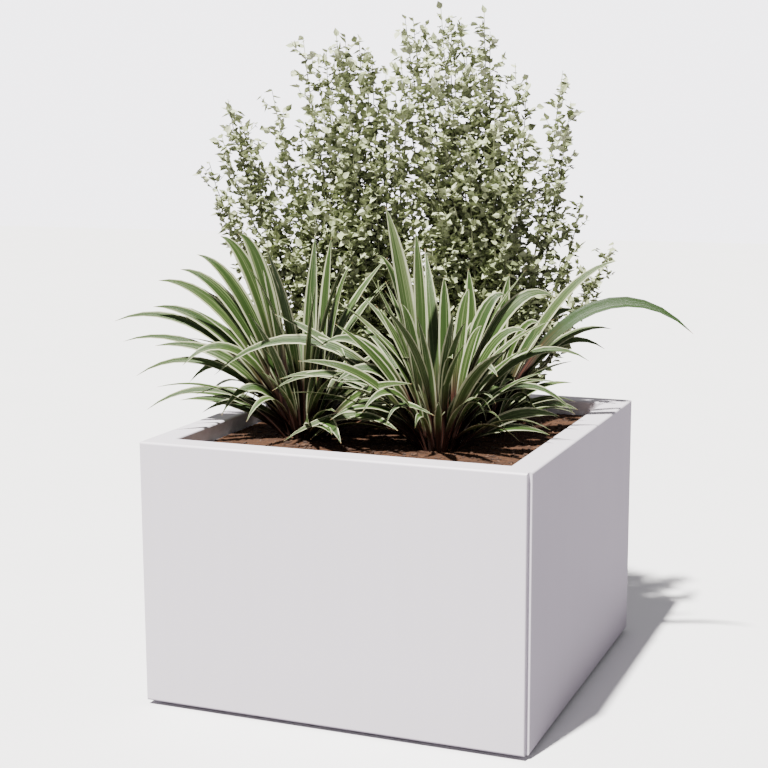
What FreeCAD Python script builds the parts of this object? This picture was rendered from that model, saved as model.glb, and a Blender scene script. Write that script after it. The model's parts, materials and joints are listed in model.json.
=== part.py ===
import FreeCAD, Part
import math
import os

# Square planter box for streets and terraces, made of two L-shaped shells of folded, powder-coated
# steel sheet, with a removable inner liner that holds the soil and the plants. Millimetres, +Z up. The
# origin is on the ground under the centre of the box, the front looks along -Y and the right side
# along +X. The box turned half round about the vertical is the same box.

V = FreeCAD.Vector
UP = V(0, 0, 1)
ORIGIN = V(0, 0, 0)

# ---- driving dimensions -------------------------------------------------------------------------
BOX_WIDTH = 900.0
BOX_HEIGHT = 610.0
LIP_WIDTH = 60.0
LIP_DROP = 60.0
SHEET = 3.0
BEND_RADIUS = 5.0
EDGE_RADIUS = 4.0
GROUND_GAP = 10.0
BOTTOM_FLANGE = 75.0
CORNER_STEP_X = 7.0
CORNER_STEP_Y = 14.0
FLANGE_WIDTH = 40.0
MITRE_GAP = 0.1

ANGLE_LEG = 40.0
ANGLE_WALL = 4.0
RIB_SHEET = 2.0
RIB_HEIGHT = 100.0
RIB_CROWN = 50.0
RIB_DEPTH = 26.0
RIB_LENGTH = 770.0
RIB_LEVEL = 310.0

RAIL = 50.0
RAIL_WALL = 3.0
BEARER_X = 190.0
FOOT_PLATE = 90.0
PLATE_WALL = 6.0
TAB_SIZE = 60.0
ANCHOR_X = 100.0
ANCHOR_Y = 345.0
ANCHOR_HOLE_R = 7.0

FOOT_AT = 335.0
PAD_R = 30.0
PAD_HEIGHT = 12.0
STUD_R = 6.0
STUD_TOP = 61.0
SCREW_CLEARANCE = 0.05
BUSH_R = 12.0
BUSH_LENGTH = 20.0

CORNER_BOLT_R = 3.0
CORNER_BOLT_LEVELS = (85.0, 310.0, 540.0)
BASE_BOLT_R = 4.0
BASE_BOLT_OFFSETS = (-300.0, -100.0, 100.0, 300.0)

LINER_HALF = 385.0
LINER_WALL = 2.0
DRAIN_R = 8.0
DRAIN_AT = 230.0
LUG_SIZE = 80.0
LUG_WALL = 6.0
LUG_HOLE_R = 11.0
GRAVEL_DEPTH = 40.0
FABRIC_THICKNESS = 3.0
SOIL_BELOW_RIM = 32.0
POCKET_GAP = 0.3

# ---- sizes worked out from them -----------------------------------------------------------------
HALF = BOX_WIDTH / 2
LIP_INNER = HALF - LIP_WIDTH
WALL_INNER = HALF - SHEET
FRONT_END_X = HALF - CORNER_STEP_X
SIDE_END_Y = HALF - CORNER_STEP_Y
FLOOR_Z = GROUND_GAP + SHEET
FLANGE_TOP = BOX_HEIGHT - 10.0
SOIL_TOP = BOX_HEIGHT - SOIL_BELOW_RIM
LINER_TOP = SOIL_TOP - 4.0
LUG_TOP = SOIL_TOP - 23.0
RAIL_TOP = FLOOR_Z + RAIL
ANGLE_Y = SIDE_END_Y - SHEET
RAIL_Y = ANGLE_Y - ANGLE_WALL
RAIL_X = WALL_INNER - ANGLE_WALL
RAIL_INNER_Y = RAIL_Y - RAIL
RAIL_INNER_X = RAIL_X - RAIL
LINER_INNER = LINER_HALF - LINER_WALL
GRAVEL_Z = RAIL_TOP + LINER_WALL
FABRIC_Z = GRAVEL_Z + GRAVEL_DEPTH
SOIL_Z = FABRIC_Z + FABRIC_THICKNESS


# ---- small helpers ------------------------------------------------------------------------------
def box(x, y, z):
    """A block between the low and high value of each pair."""
    low = V(min(x), min(y), min(z))
    return Part.makeBox(abs(x[1] - x[0]), abs(y[1] - y[0]), abs(z[1] - z[0]), low)


def rod(radius, start, end):
    """A round bar from one point to another."""
    along = end - start
    return Part.makeCylinder(radius, along.Length, start, along)


def hex_bar(across_flats, x, y, z_low, z_high):
    """An upright hexagon, as on a nut or a bolt head."""
    corner = across_flats / math.sqrt(3)
    turns = [math.radians(60 * step) for step in range(6)]
    ring = [V(x + corner * math.cos(t), y + corner * math.sin(t), z_low) for t in turns]
    face = Part.Face(Part.makePolygon(ring + ring[:1]))
    return face.extrude(UP * (z_high - z_low))


def rounded_wire(points, radii):
    """A closed wire through the points, with a tangent arc at each corner that has a radius."""
    edges = []
    starts, ends, middles = [], [], []
    count = len(points)
    for i, radius in enumerate(radii):
        corner = points[i]
        before = (points[i - 1] - corner).normalize()
        after = (points[(i + 1) % count] - corner).normalize()
        half_turn = before.getAngle(after) / 2
        reach = radius / math.tan(half_turn)
        inward = (before + after).normalize()
        starts.append(corner + before * reach)
        ends.append(corner + after * reach)
        middles.append(corner + inward * (radius / math.sin(half_turn) - radius))
    for i, radius in enumerate(radii):
        if radius > 0:
            edges.append(Part.Arc(starts[i], middles[i], ends[i]).toShape())
        edges.append(Part.LineSegment(ends[i], starts[(i + 1) % count]).toShape())
    return Part.Wire(edges)


def prism(points, radii, along):
    """A solid made by pushing a rounded outline along a vector."""
    return Part.Face(rounded_wire(points, radii)).extrude(along)


def plan_prism(outline, corner_radii=None):
    """The full height of the box over a plan outline of (x, y) corners."""
    points = [V(x, y, 0) for x, y in outline]
    return prism(points, corner_radii or [0] * len(points), UP * (BOX_HEIGHT + 1))


def fused(shapes):
    """One solid from several that meet."""
    first, rest = shapes[0], shapes[1:]
    return first.fuse(rest).removeSplitter()


def mirror_x(shape):
    return shape.mirror(ORIGIN, V(1, 0, 0))


def mirror_y(shape):
    return shape.mirror(ORIGIN, V(0, 1, 0))


def turned(shape, degrees):
    """A copy turned about the vertical through the origin."""
    copy = shape.copy()
    copy.rotate(ORIGIN, UP, degrees)
    return copy


def four_corners(front_right):
    """The same piece at the four corners, by name."""
    front_left = mirror_x(front_right)
    return {
        "front_right": front_right,
        "front_left": front_left,
        "back_right": mirror_y(front_right),
        "back_left": mirror_y(front_left),
    }


def both_joints(front_right):
    """The same piece at the two corners where the shells are joined, by name."""
    return {"front_right": front_right, "back_left": turned(front_right, 180)}


def group(shapes):
    """Identical small pieces kept as separate solids in one node."""
    return Part.makeCompound(shapes)


# ---- the two folded shells ----------------------------------------------------------------------
def folded_section(place):
    """The sheet's bent section: bottom flange, wall, lip and the lip's down-turn."""
    outer = [
        (HALF - BOTTOM_FLANGE, GROUND_GAP),
        (HALF, GROUND_GAP),
        (HALF, BOX_HEIGHT),
        (LIP_INNER, BOX_HEIGHT),
        (LIP_INNER, BOX_HEIGHT - LIP_DROP),
    ]
    inner = [
        (LIP_INNER + SHEET, BOX_HEIGHT - LIP_DROP),
        (LIP_INNER + SHEET, BOX_HEIGHT - SHEET),
        (WALL_INNER, BOX_HEIGHT - SHEET),
        (WALL_INNER, FLOOR_Z),
        (HALF - BOTTOM_FLANGE, FLOOR_Z),
    ]
    inside_radius = BEND_RADIUS - SHEET
    outer_radii = [0, BEND_RADIUS, BEND_RADIUS, BEND_RADIUS, 0]
    inner_radii = [0, inside_radius, inside_radius, inside_radius, 0]
    return [place(u, z) for u, z in outer + inner], outer_radii + inner_radii


def filled_section(place):
    """The block that the bent section wraps, used to trim what is welded to it."""
    corners = [(LIP_INNER, GROUND_GAP), (HALF, GROUND_GAP), (HALF, BOX_HEIGHT), (LIP_INNER, BOX_HEIGHT)]
    return [place(u, z) for u, z in corners], [0, BEND_RADIUS, BEND_RADIUS, 0]


def corner_bolt_places():
    """Where the bolts of the front right corner cross the flanges."""
    x = FRONT_END_X - FLANGE_WIDTH / 2
    return [(x, level) for level in CORNER_BOLT_LEVELS]


def corner_bolt_holes(radius):
    """Drills along Y through the flanges of the front right corner."""
    return [rod(radius, V(x, -WALL_INNER + 2, z), V(x, -RAIL_Y + 10, z)) for x, z in corner_bolt_places()]


def base_bolt_places():
    """Where the bolts under the bottom flanges go up into the rails."""
    places = []
    for offset in BASE_BOLT_OFFSETS:
        for side in (-1, 1):
            places.append((offset, side * (RAIL_Y - RAIL / 2)))
            places.append((side * (RAIL_X - RAIL / 2), offset))
    return places


def base_bolt_drills(radius):
    """Upright drills at every base bolt, from under the flange to inside the rail."""
    return [rod(radius, V(x, y, 0), V(x, y, FLOOR_Z + 2 * RAIL_WALL)) for x, y in base_bolt_places()]


def front_wall():
    """Front half of a shell: at its right end it steps back, where it meets the side's flange."""

    def place(u, z):
        return V(-HALF, -u, z)

    along = V(BOX_WIDTH, 0, 0)
    inner = HALF - BOTTOM_FLANGE
    outline = [
        (-HALF, -HALF),
        (FRONT_END_X, -HALF),
        (FRONT_END_X, -SIDE_END_Y),
        (SIDE_END_Y - MITRE_GAP, -SIDE_END_Y),
        (inner - MITRE_GAP, -inner),
        (-inner, -inner),
    ]
    footprint = plan_prism(outline, [0, EDGE_RADIUS - 1, 0, 0, 0, 0])
    end_return = box((FRONT_END_X - SHEET, FRONT_END_X), (-HALF, -SIDE_END_Y), (GROUND_GAP, BOX_HEIGHT))
    end_return = end_return.common(prism(*filled_section(place), along))
    wall = fused([prism(*folded_section(place), along), end_return]).common(footprint)
    hidden = (FRONT_END_X - FLANGE_WIDTH, FRONT_END_X)
    flange = box(hidden, (-SIDE_END_Y - SHEET, -SIDE_END_Y), (FLOOR_Z, FLANGE_TOP))
    return fused([wall, flange]).cut(corner_bolt_holes(CORNER_BOLT_R + 0.3))


def right_wall():
    """Side half of a shell: the flange at its front end closes the step of the other shell."""

    def place(u, z):
        return V(u, -HALF, z)

    along = V(0, BOX_WIDTH, 0)
    inner = HALF - BOTTOM_FLANGE
    outline = [
        (HALF, -SIDE_END_Y),
        (HALF, HALF),
        (inner, inner),
        (inner, -inner + MITRE_GAP),
        (SIDE_END_Y + MITRE_GAP, -SIDE_END_Y),
    ]
    footprint = plan_prism(outline, [EDGE_RADIUS - 1, 0, 0, 0, 0])
    thickness = (-SIDE_END_Y, -ANGLE_Y)
    strip = box((FRONT_END_X - SHEET, HALF), thickness, (GROUND_GAP, BOX_HEIGHT))
    strip = strip.common(prism(*filled_section(place), along))
    wall = fused([prism(*folded_section(place), along), strip]).common(footprint)
    flange = box((HALF - FLANGE_WIDTH, FRONT_END_X), thickness, (FLOOR_Z, FLANGE_TOP))
    return fused([wall, flange]).cut(corner_bolt_holes(CORNER_BOLT_R + 0.3))


def front_left_shell():
    """One L-shaped half of the box, folded round its corner, with the bolt holes in its flanges."""
    corner = [(-HALF, -HALF), (HALF, -HALF), (HALF, HALF), (-HALF, HALF)]
    rounded = plan_prism(corner, [EDGE_RADIUS, 0, 0, 0])
    shell = fused([front_wall(), turned(right_wall(), 180)]).common(rounded)
    return shell.cut(base_bolt_drills(BASE_BOLT_R + 0.5))


def corner_angle():
    """Rolled angle inside the front right corner, bolted through both flanges."""
    height = (FLOOR_Z + BEND_RADIUS, FLANGE_TOP)
    across = box((WALL_INNER - ANGLE_LEG, WALL_INNER), (-ANGLE_Y, -RAIL_Y), height)
    back = box((RAIL_X, WALL_INNER), (-ANGLE_Y, -ANGLE_Y + ANGLE_LEG), height)
    return fused([across, back]).cut(corner_bolt_holes(CORNER_BOLT_R + 0.3))


def panel_stiffener():
    """Hat-section rib bonded behind the front sheet so that it can't drum or bulge."""
    low = RIB_LEVEL - RIB_HEIGHT / 2
    high = RIB_LEVEL + RIB_HEIGHT / 2
    crown_low = RIB_LEVEL - RIB_CROWN / 2
    crown_high = RIB_LEVEL + RIB_CROWN / 2
    back = -WALL_INNER
    front = -WALL_INNER + RIB_DEPTH
    outline = [
        (back, low),
        (back + RIB_SHEET, low),
        (back + RIB_SHEET, crown_low),
        (front, crown_low),
        (front, crown_high),
        (back + RIB_SHEET, crown_high),
        (back + RIB_SHEET, high),
        (back, high),
        (back, crown_high - RIB_SHEET),
        (front - RIB_SHEET, crown_high - RIB_SHEET),
        (front - RIB_SHEET, crown_low + RIB_SHEET),
        (back, crown_low + RIB_SHEET),
    ]
    points = [V(-RIB_LENGTH / 2, y, z) for y, z in outline]
    return prism(points, [0] * len(points), V(RIB_LENGTH, 0, 0))


# ---- the base frame -----------------------------------------------------------------------------
def hollow_rail(x, y):
    """Square tube lying on the bottom flanges, along the longer of its two spans."""
    outer = box(x, y, (FLOOR_Z, RAIL_TOP))
    along_x = abs(x[1] - x[0]) > abs(y[1] - y[0])
    bore_x = x if along_x else (min(x) + RAIL_WALL, max(x) - RAIL_WALL)
    bore_y = (min(y) + RAIL_WALL, max(y) - RAIL_WALL) if along_x else y
    bore = box(bore_x, bore_y, (FLOOR_Z + RAIL_WALL, RAIL_TOP - RAIL_WALL))
    return outer.cut(bore)


def base_rails():
    """Four rails round the foot of the box and two bearers across it, all welded together."""
    drills = base_bolt_drills(BASE_BOLT_R + 1.55)
    front = hollow_rail((-RAIL_X, RAIL_X), (-RAIL_Y, -RAIL_INNER_Y)).cut(drills)
    right = hollow_rail((RAIL_INNER_X, RAIL_X), (-RAIL_INNER_Y, RAIL_INNER_Y)).cut(drills)
    half_bearer = RAIL / 2
    bearer = hollow_rail((BEARER_X - half_bearer, BEARER_X + half_bearer), (-RAIL_INNER_Y, RAIL_INNER_Y))
    return {
        "base_rail_front": front,
        "base_rail_back": turned(front, 180),
        "base_rail_right": right,
        "base_rail_left": turned(right, 180),
        "base_bearer_right": bearer,
        "base_bearer_left": mirror_x(bearer),
    }


def foot_plate():
    """Plate welded into the inner corner of the base frame, flush with the rails' top."""
    x = (RAIL_INNER_X - FOOT_PLATE, RAIL_INNER_X)
    y = (-RAIL_INNER_Y, -RAIL_INNER_Y + FOOT_PLATE)
    plate = box(x, y, (RAIL_TOP - PLATE_WALL, RAIL_TOP))
    hole = rod(STUD_R + 0.5, V(FOOT_AT, -FOOT_AT, 0), V(FOOT_AT, -FOOT_AT, RAIL_TOP + 1))
    return plate.cut(hole)


def foot_bush():
    """Threaded bush under the foot plate."""
    top = RAIL_TOP - PLATE_WALL
    centre_low = V(FOOT_AT, -FOOT_AT, top - BUSH_LENGTH)
    centre_high = V(FOOT_AT, -FOOT_AT, top)
    return rod(BUSH_R, centre_low, centre_high).cut(rod(STUD_R + SCREW_CLEARANCE, centre_low, centre_high))


def anchor_tab():
    """Lug on the inside of the front rail with the hole for a ground anchor."""
    x = (ANCHOR_X - TAB_SIZE / 2, ANCHOR_X + TAB_SIZE / 2)
    tab = box(x, (-RAIL_INNER_Y, -RAIL_INNER_Y + TAB_SIZE), (FLOOR_Z, FLOOR_Z + PLATE_WALL))
    hole = rod(ANCHOR_HOLE_R, V(ANCHOR_X, -ANCHOR_Y, 0), V(ANCHOR_X, -ANCHOR_Y, RAIL_TOP))
    return tab.cut(hole)


# ---- fasteners ----------------------------------------------------------------------------------
def corner_bolt(x, z):
    """M6 flanged bolt along Y, put in from inside the box."""
    head_face = -RAIL_Y
    shank = rod(CORNER_BOLT_R, V(x, head_face, z), V(x, head_face - 15, z))
    flange = rod(6.5, V(x, head_face, z), V(x, head_face + 1.2, z))
    head = hex_bar(10.0, x, z, 0, 5)
    head.rotate(ORIGIN, V(1, 0, 0), 90)
    head = mirror_y(head)
    head.translate(V(0, head_face, 0))
    return fused([shank, flange, head])


def corner_nut(x, z):
    """Clinch nut pressed on the front of the front sheet's hidden flange."""
    seat = -SIDE_END_Y - SHEET
    body = rod(5.5, V(x, seat, z), V(x, seat - 4.5, z))
    return body.cut(rod(CORNER_BOLT_R + SCREW_CLEARANCE, V(x, seat + 1, z), V(x, seat - 6, z)))


def base_bolt(x, y):
    """M8 button-head bolt from below, with its head under the bottom flange."""
    head = Part.makeCone(5.0, 7.0, 2.2, V(x, y, GROUND_GAP - 4.4))
    rim = rod(7.0, V(x, y, GROUND_GAP - 2.2), V(x, y, GROUND_GAP))
    shank = rod(BASE_BOLT_R, V(x, y, GROUND_GAP), V(x, y, GROUND_GAP + 18))
    socket = hex_bar(5.0, x, y, GROUND_GAP - 4.4, GROUND_GAP - 1.6)
    return fused([head, rim, shank]).cut(socket)


def base_rivet_nut(x, y):
    """Rivet nut in the rail's lower wall."""
    low = V(x, y, FLOOR_Z)
    high = V(x, y, FLOOR_Z + 14)
    body = rod(BASE_BOLT_R + 1.5, low, high)
    bulge = rod(BASE_BOLT_R + 3, V(x, y, FLOOR_Z + RAIL_WALL), V(x, y, FLOOR_Z + RAIL_WALL + 2.5))
    return fused([body, bulge]).cut(rod(BASE_BOLT_R + SCREW_CLEARANCE, low, high))


def fasteners():
    """Every bolt and nut, as one group of separate solids for each kind."""
    bolts = []
    nuts = []
    for x, z in corner_bolt_places():
        bolts += both_joints(corner_bolt(x, z)).values()
        nuts += both_joints(corner_nut(x, z)).values()
    return {
        "corner_bolts": group(bolts),
        "corner_clinch_nuts": group(nuts),
        "base_bolts": group([base_bolt(x, y) for x, y in base_bolt_places()]),
        "base_rivet_nuts": group([base_rivet_nut(x, y) for x, y in base_bolt_places()]),
    }


# ---- the levelling feet -------------------------------------------------------------------------
BALL_R = 8.0
BALL_LOW = 3.0
BALL_HIGH = 8.0
NECK_R = 5.0
COLLAR_LOW = 15.0
COLLAR_HIGH = 22.0
LOCKNUT_HEIGHT = 7.0


def foot_pad():
    """Round pad with an undercut socket that keeps the stud's disc in."""
    x, y = FOOT_AT, -FOOT_AT
    skirt = rod(PAD_R, V(x, y, 0), V(x, y, 6))
    slope = Part.makeCone(PAD_R, 14.0, PAD_HEIGHT - 6, V(x, y, 6))
    cavity = rod(BALL_R + 0.3, V(x, y, BALL_LOW - 0.3), V(x, y, BALL_HIGH + 0.3))
    mouth = rod(NECK_R + 0.3, V(x, y, BALL_HIGH), V(x, y, PAD_HEIGHT + 1))
    return fused([skirt, slope]).cut([cavity, mouth])


def foot_stud():
    """M12 stud with a disc end, a neck and a hexagon to turn it by."""
    x, y = FOOT_AT, -FOOT_AT
    disc = rod(BALL_R, V(x, y, BALL_LOW), V(x, y, BALL_HIGH))
    neck = rod(NECK_R, V(x, y, BALL_HIGH), V(x, y, COLLAR_LOW))
    collar = hex_bar(19.0, x, y, COLLAR_LOW, COLLAR_HIGH)
    thread = rod(STUD_R, V(x, y, COLLAR_HIGH), V(x, y, STUD_TOP))
    return fused([disc, neck, collar, thread])


def foot_locknut():
    """Thin hexagon nut that locks the stud under the bush."""
    x, y = FOOT_AT, -FOOT_AT
    top = RAIL_TOP - PLATE_WALL - BUSH_LENGTH - 0.1
    bore = rod(STUD_R + SCREW_CLEARANCE, V(x, y, 0), V(x, y, RAIL_TOP))
    return hex_bar(19.0, x, y, top - LOCKNUT_HEIGHT, top).cut(bore)


# ---- the liner and what fills it ----------------------------------------------------------------
def liner():
    """Open galvanised tray with drain holes, standing on the rails and bearers."""
    outer = box((-LINER_HALF, LINER_HALF), (-LINER_HALF, LINER_HALF), (RAIL_TOP, LINER_TOP))
    inside = (-LINER_INNER, LINER_INNER)
    tray = outer.cut(box(inside, inside, (GRAVEL_Z, LINER_TOP + 1)))
    drains = [rod(DRAIN_R, V(0, 0, RAIL_TOP - 1), V(0, 0, GRAVEL_Z + 1))]
    for x in (-DRAIN_AT, DRAIN_AT):
        for y in (-DRAIN_AT, DRAIN_AT):
            drains.append(rod(DRAIN_R, V(x, y, RAIL_TOP - 1), V(x, y, GRAVEL_Z + 1)))
    return tray.cut(drains)


def lifting_lug():
    """Gusset welded across the liner's corner, with the hole for a lifting hook."""
    near = LINER_INNER - LUG_SIZE
    outline = [V(LINER_INNER, -LINER_INNER, 0), V(LINER_INNER, -near, 0), V(near, -LINER_INNER, 0)]
    plate = prism(outline, [0, 0, 0], UP * LUG_WALL)
    plate.translate(UP * (LUG_TOP - LUG_WALL))
    hole_at = LINER_INNER - LUG_SIZE * 0.3
    return plate.cut(rod(LUG_HOLE_R, V(hole_at, -hole_at, 0), V(hole_at, -hole_at, LUG_TOP + 1)))


def fill_block(z_low, z_high):
    """A layer that fills the liner from wall to wall."""
    across = (-LINER_INNER, LINER_INNER)
    return box(across, across, (z_low, z_high))


# ---- the plants ---------------------------------------------------------------------------------
# Root balls: centre x, centre y, radius at the top and depth.
ROOT_BALLS = {
    "flax_left": (-205, -110, 85, 170),
    "flax_right": (140, -130, 85, 170),
    "flax_rear": (175, 60, 80, 170),
    "shrub_left": (-120, 190, 100, 240),
    "shrub_right": (150, 260, 100, 240),
}

# Strap leaves: the tip of each main leaf, and how far the leaf's arch stands above its chord.
FLAX_LEAVES = {
    "flax_left": [
        ((-619, -250, 848), 170),
        ((-570, -256, 755), 150),
        ((-528, -239, 884), 130),
        ((-467, -200, 971), 90),
        ((-379, -180, 1047), 60),
        ((-300, -140, 1050), 40),
        ((-140, -60, 1040), 40),
        ((-100, -160, 910), 70),
        ((-260, -300, 810), 90),
        ((-60, -20, 870), 70),
        ((-330, 60, 890), 80),
    ],
    "flax_right": [
        ((20, -150, 1115), 40),
        ((82, -125, 1065), 40),
        ((0, -190, 1000), 60),
        ((269, -51, 921), 70),
        ((371, -30, 916), 100),
        ((447, -40, 780), 140),
        ((418, -110, 660), 150),
        ((141, -102, 1000), 40),
        ((193, -81, 935), 60),
        ((90, -320, 770), 90),
        ((240, -290, 790), 90),
    ],
    "flax_rear": [
        ((619, 170, 825), 170),
        ((466, 186, 984), 90),
        ((444, 120, 776), 130),
        ((381, 152, 857), 110),
        ((234, 93, 954), 50),
        ((120, 150, 940), 50),
        ((330, -20, 830), 100),
    ],
}

# Shrub leaders: the tip of each main upright shoot.
SHRUB_LEADERS = {
    "shrub_left": [
        (-485, 40, 1190),
        (-424, 110, 1360),
        (-341, 60, 1374),
        (-277, 170, 1503),
        (-206, 90, 1514),
        (-60, 240, 1510),
        (-200, 300, 1340),
        (-350, 280, 1160),
    ],
    "shrub_right": [
        (-29, 180, 1549),
        (48, 200, 1560),
        (137, 230, 1548),
        (205, 330, 1436),
        (327, 280, 1407),
        (430, 330, 1020),
        (290, 400, 1210),
        (60, 380, 1360),
    ],
}

CROWN_HEIGHT = 70.0
LEAF_WIDTH = 26.0
LEAF_THICKNESS = 3.0
PATH_STEPS = 7


def curve_point(base, bend, tip, t):
    """A point of the quadratic curve from base to tip."""
    return base * (1 - t) ** 2 + bend * (2 * t * (1 - t)) + tip * t**2


def swept(base, bend, tip, section):
    """A closed solid through flat-sided sections along a curved path."""
    wires = []
    for step in range(PATH_STEPS + 1):
        t = step / PATH_STEPS
        centre = curve_point(base, bend, tip, t)
        along = (curve_point(base, bend, tip, t + 0.01) - curve_point(base, bend, tip, t - 0.01)).normalize()
        heading = V(tip.x - base.x, tip.y - base.y, 0).normalize()
        across = V(-heading.y, heading.x, 0)
        normal = across.cross(along)
        ring = [centre + across * u + normal * v for u, v in section(t)]
        wires.append(Part.makePolygon(ring + ring[:1]))
    return Part.makeLoft(wires, True, True)


def leaf_section(t):
    """Diamond section: widest a third of the way out, narrow at the tip."""
    half_width = LEAF_WIDTH / 2 * (0.55 + 1.3 * t) if t < 0.33 else LEAF_WIDTH / 2 * (1 - t) / 0.67
    half_width = max(half_width, 1.5)
    half_thick = LEAF_THICKNESS / 2
    return [(-half_width, 0), (0, -half_thick), (half_width, 0), (0, half_thick)]


def shoot_section(t):
    """Six-sided section that tapers from the trunk to the tip."""
    radius = 7.5 - 5 * t
    turns = [math.radians(60 * step) for step in range(6)]
    return [(radius * math.cos(a), radius * math.sin(a)) for a in turns]


def root_cone(name, gap=0.0):
    """Root ball as it comes out of its pot, grown by a gap on every side."""
    x, y, radius, depth = ROOT_BALLS[name]
    low = SOIL_TOP - depth - gap
    return Part.makeCone(radius * 0.8 + gap, radius + gap, SOIL_TOP - low, V(x, y, low))


def flax(name):
    """Clump of strap leaves that arch out of one crown, on its root ball."""
    x, y, radius, _ = ROOT_BALLS[name]
    crown = Part.makeCone(radius * 0.6, radius * 0.35, CROWN_HEIGHT, V(x, y, SOIL_TOP))
    leaves = []
    for tip, arch in FLAX_LEAVES[name]:
        heading = V(tip[0] - x, tip[1] - y, 0)
        start = heading.normalize() * (radius * 0.2)
        base = V(x, y, SOIL_TOP + 10) + start
        end = V(*tip)
        bend = base + (end - base) * 0.4 + UP * (arch * 1.6)
        leaves.append(swept(base, bend, end, leaf_section))
    return fused([root_cone(name), crown] + leaves)


def shrub(name):
    """Many-stemmed shrub: a short stool that throws up long leaders, on its root ball."""
    x, y, _, _ = ROOT_BALLS[name]
    stool = Part.makeCone(30, 18, 60, V(x, y, SOIL_TOP))
    shoots = []
    for tip in SHRUB_LEADERS[name]:
        end = V(*tip)
        base = V(x, y, SOIL_TOP + 25)
        bend = V(x + (end.x - x) * 0.75, y + (end.y - y) * 0.75, SOIL_TOP + (end.z - SOIL_TOP) * 0.4)
        shoots.append(swept(base, bend, end, shoot_section))
    return fused([root_cone(name), stool] + shoots)


def soil():
    """Potting soil round the root balls and the buried lugs."""
    block = fill_block(SOIL_Z, SOIL_TOP)
    pockets = [root_cone(name, POCKET_GAP) for name in ROOT_BALLS]
    return block.cut(pockets + list(four_corners(lifting_lug()).values()))


# ---- the whole assembly -------------------------------------------------------------------------
def assembly():
    """Every node by name."""
    shell = front_left_shell()
    rib = panel_stiffener()
    nodes = {
        "front_left_shell": shell,
        "back_right_shell": turned(shell, 180),
        "panel_stiffener_front": rib,
        "panel_stiffener_right": turned(rib, 90),
        "panel_stiffener_back": turned(rib, 180),
        "panel_stiffener_left": turned(rib, 270),
        "foot_bushes": group(list(four_corners(foot_bush()).values())),
        "liner": liner(),
        "drainage_gravel": fill_block(GRAVEL_Z, FABRIC_Z),
        "filter_fabric": fill_block(FABRIC_Z, SOIL_Z),
        "soil": soil(),
    }
    nodes.update(base_rails())
    nodes.update(fasteners())
    for corner, angle in both_joints(corner_angle()).items():
        nodes[f"corner_angle_{corner}"] = angle
    corner_pieces = {
        "foot_plate": foot_plate(),
        "anchor_tab": anchor_tab(),
        "foot_pad": foot_pad(),
        "foot_stud": foot_stud(),
        "foot_locknut": foot_locknut(),
        "lifting_lug": lifting_lug(),
    }
    for name, shape in corner_pieces.items():
        for corner, copy in four_corners(shape).items():
            nodes[f"{name}_{corner}"] = copy
    for name in FLAX_LEAVES:
        nodes[name] = flax(name)
    for name in SHRUB_LEADERS:
        nodes[name] = shrub(name)
    return nodes


os.makedirs("parts", exist_ok=True)
for node, shape in assembly().items():
    shape.exportStep(f"parts/{node}.step")
    bounds = shape.BoundBox
    print(f"{node:28s} solids {len(shape.Solids):2d} valid {shape.isValid()} volume {shape.Volume / 1e3:10.1f} cm3 "
          f"x {bounds.XMin:8.1f} {bounds.XMax:8.1f} y {bounds.YMin:8.1f} {bounds.YMax:8.1f} "
          f"z {bounds.ZMin:8.1f} {bounds.ZMax:8.1f}")
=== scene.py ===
# %% [markdown]
# # A planted street planter
# The planter is a square box of folded, powder-coated sheet on four levelling feet. Inside it stands a
# galvanised liner with gravel, filter felt and soil, and in the soil grow three clumps of variegated
# strap-leaved flax and two tall small-leaved shrubs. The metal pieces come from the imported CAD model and
# only get their finishes here. The soil, the felt, the gravel and all the plants are modelled here.

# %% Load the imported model
import json
import math

import bpy
import numpy as np
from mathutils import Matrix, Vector


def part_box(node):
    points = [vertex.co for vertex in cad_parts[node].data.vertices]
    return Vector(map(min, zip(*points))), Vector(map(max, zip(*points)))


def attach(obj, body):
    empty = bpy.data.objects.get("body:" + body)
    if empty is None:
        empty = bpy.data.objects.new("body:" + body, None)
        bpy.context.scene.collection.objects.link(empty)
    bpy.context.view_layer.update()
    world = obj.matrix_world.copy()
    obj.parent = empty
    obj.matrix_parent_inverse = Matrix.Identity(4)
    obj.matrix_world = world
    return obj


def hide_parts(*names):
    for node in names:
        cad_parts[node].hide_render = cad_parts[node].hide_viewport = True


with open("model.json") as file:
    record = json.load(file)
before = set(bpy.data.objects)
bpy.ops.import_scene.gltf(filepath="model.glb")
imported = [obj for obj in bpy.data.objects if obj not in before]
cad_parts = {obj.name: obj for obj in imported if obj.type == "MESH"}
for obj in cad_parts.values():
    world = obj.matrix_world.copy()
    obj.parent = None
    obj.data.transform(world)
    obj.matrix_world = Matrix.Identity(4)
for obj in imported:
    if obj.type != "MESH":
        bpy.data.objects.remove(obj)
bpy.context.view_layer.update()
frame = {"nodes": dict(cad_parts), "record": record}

# %% [markdown]
# The main sizes are read from the frame, so that everything made here lands where the design has it.

# %% Sizes read from the frame
SOIL_LOW, SOIL_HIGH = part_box("soil")
GRAVEL_LOW, GRAVEL_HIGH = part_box("drainage_gravel")
FABRIC_LOW, FABRIC_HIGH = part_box("filter_fabric")
BOX_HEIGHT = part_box("front_left_shell")[1][2]
SOIL_TOP = SOIL_HIGH[2]
print("soil top", round(SOIL_TOP, 3), "rim", round(BOX_HEIGHT, 3))

# %% [markdown]
# ## Camera
# The camera stands to the right of the front and a little above the rim, and uses a long lens, so the
# upright edges stay nearly parallel.

# %% Camera
CAMERA_PLACE = Vector((1.293, -3.326, 1.294))
CAMERA_AIM = Vector((-0.033, -0.032, 0.698))
CAMERA_LENS = 71.75
CAMERA_ROLL = math.radians(-0.24)

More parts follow.
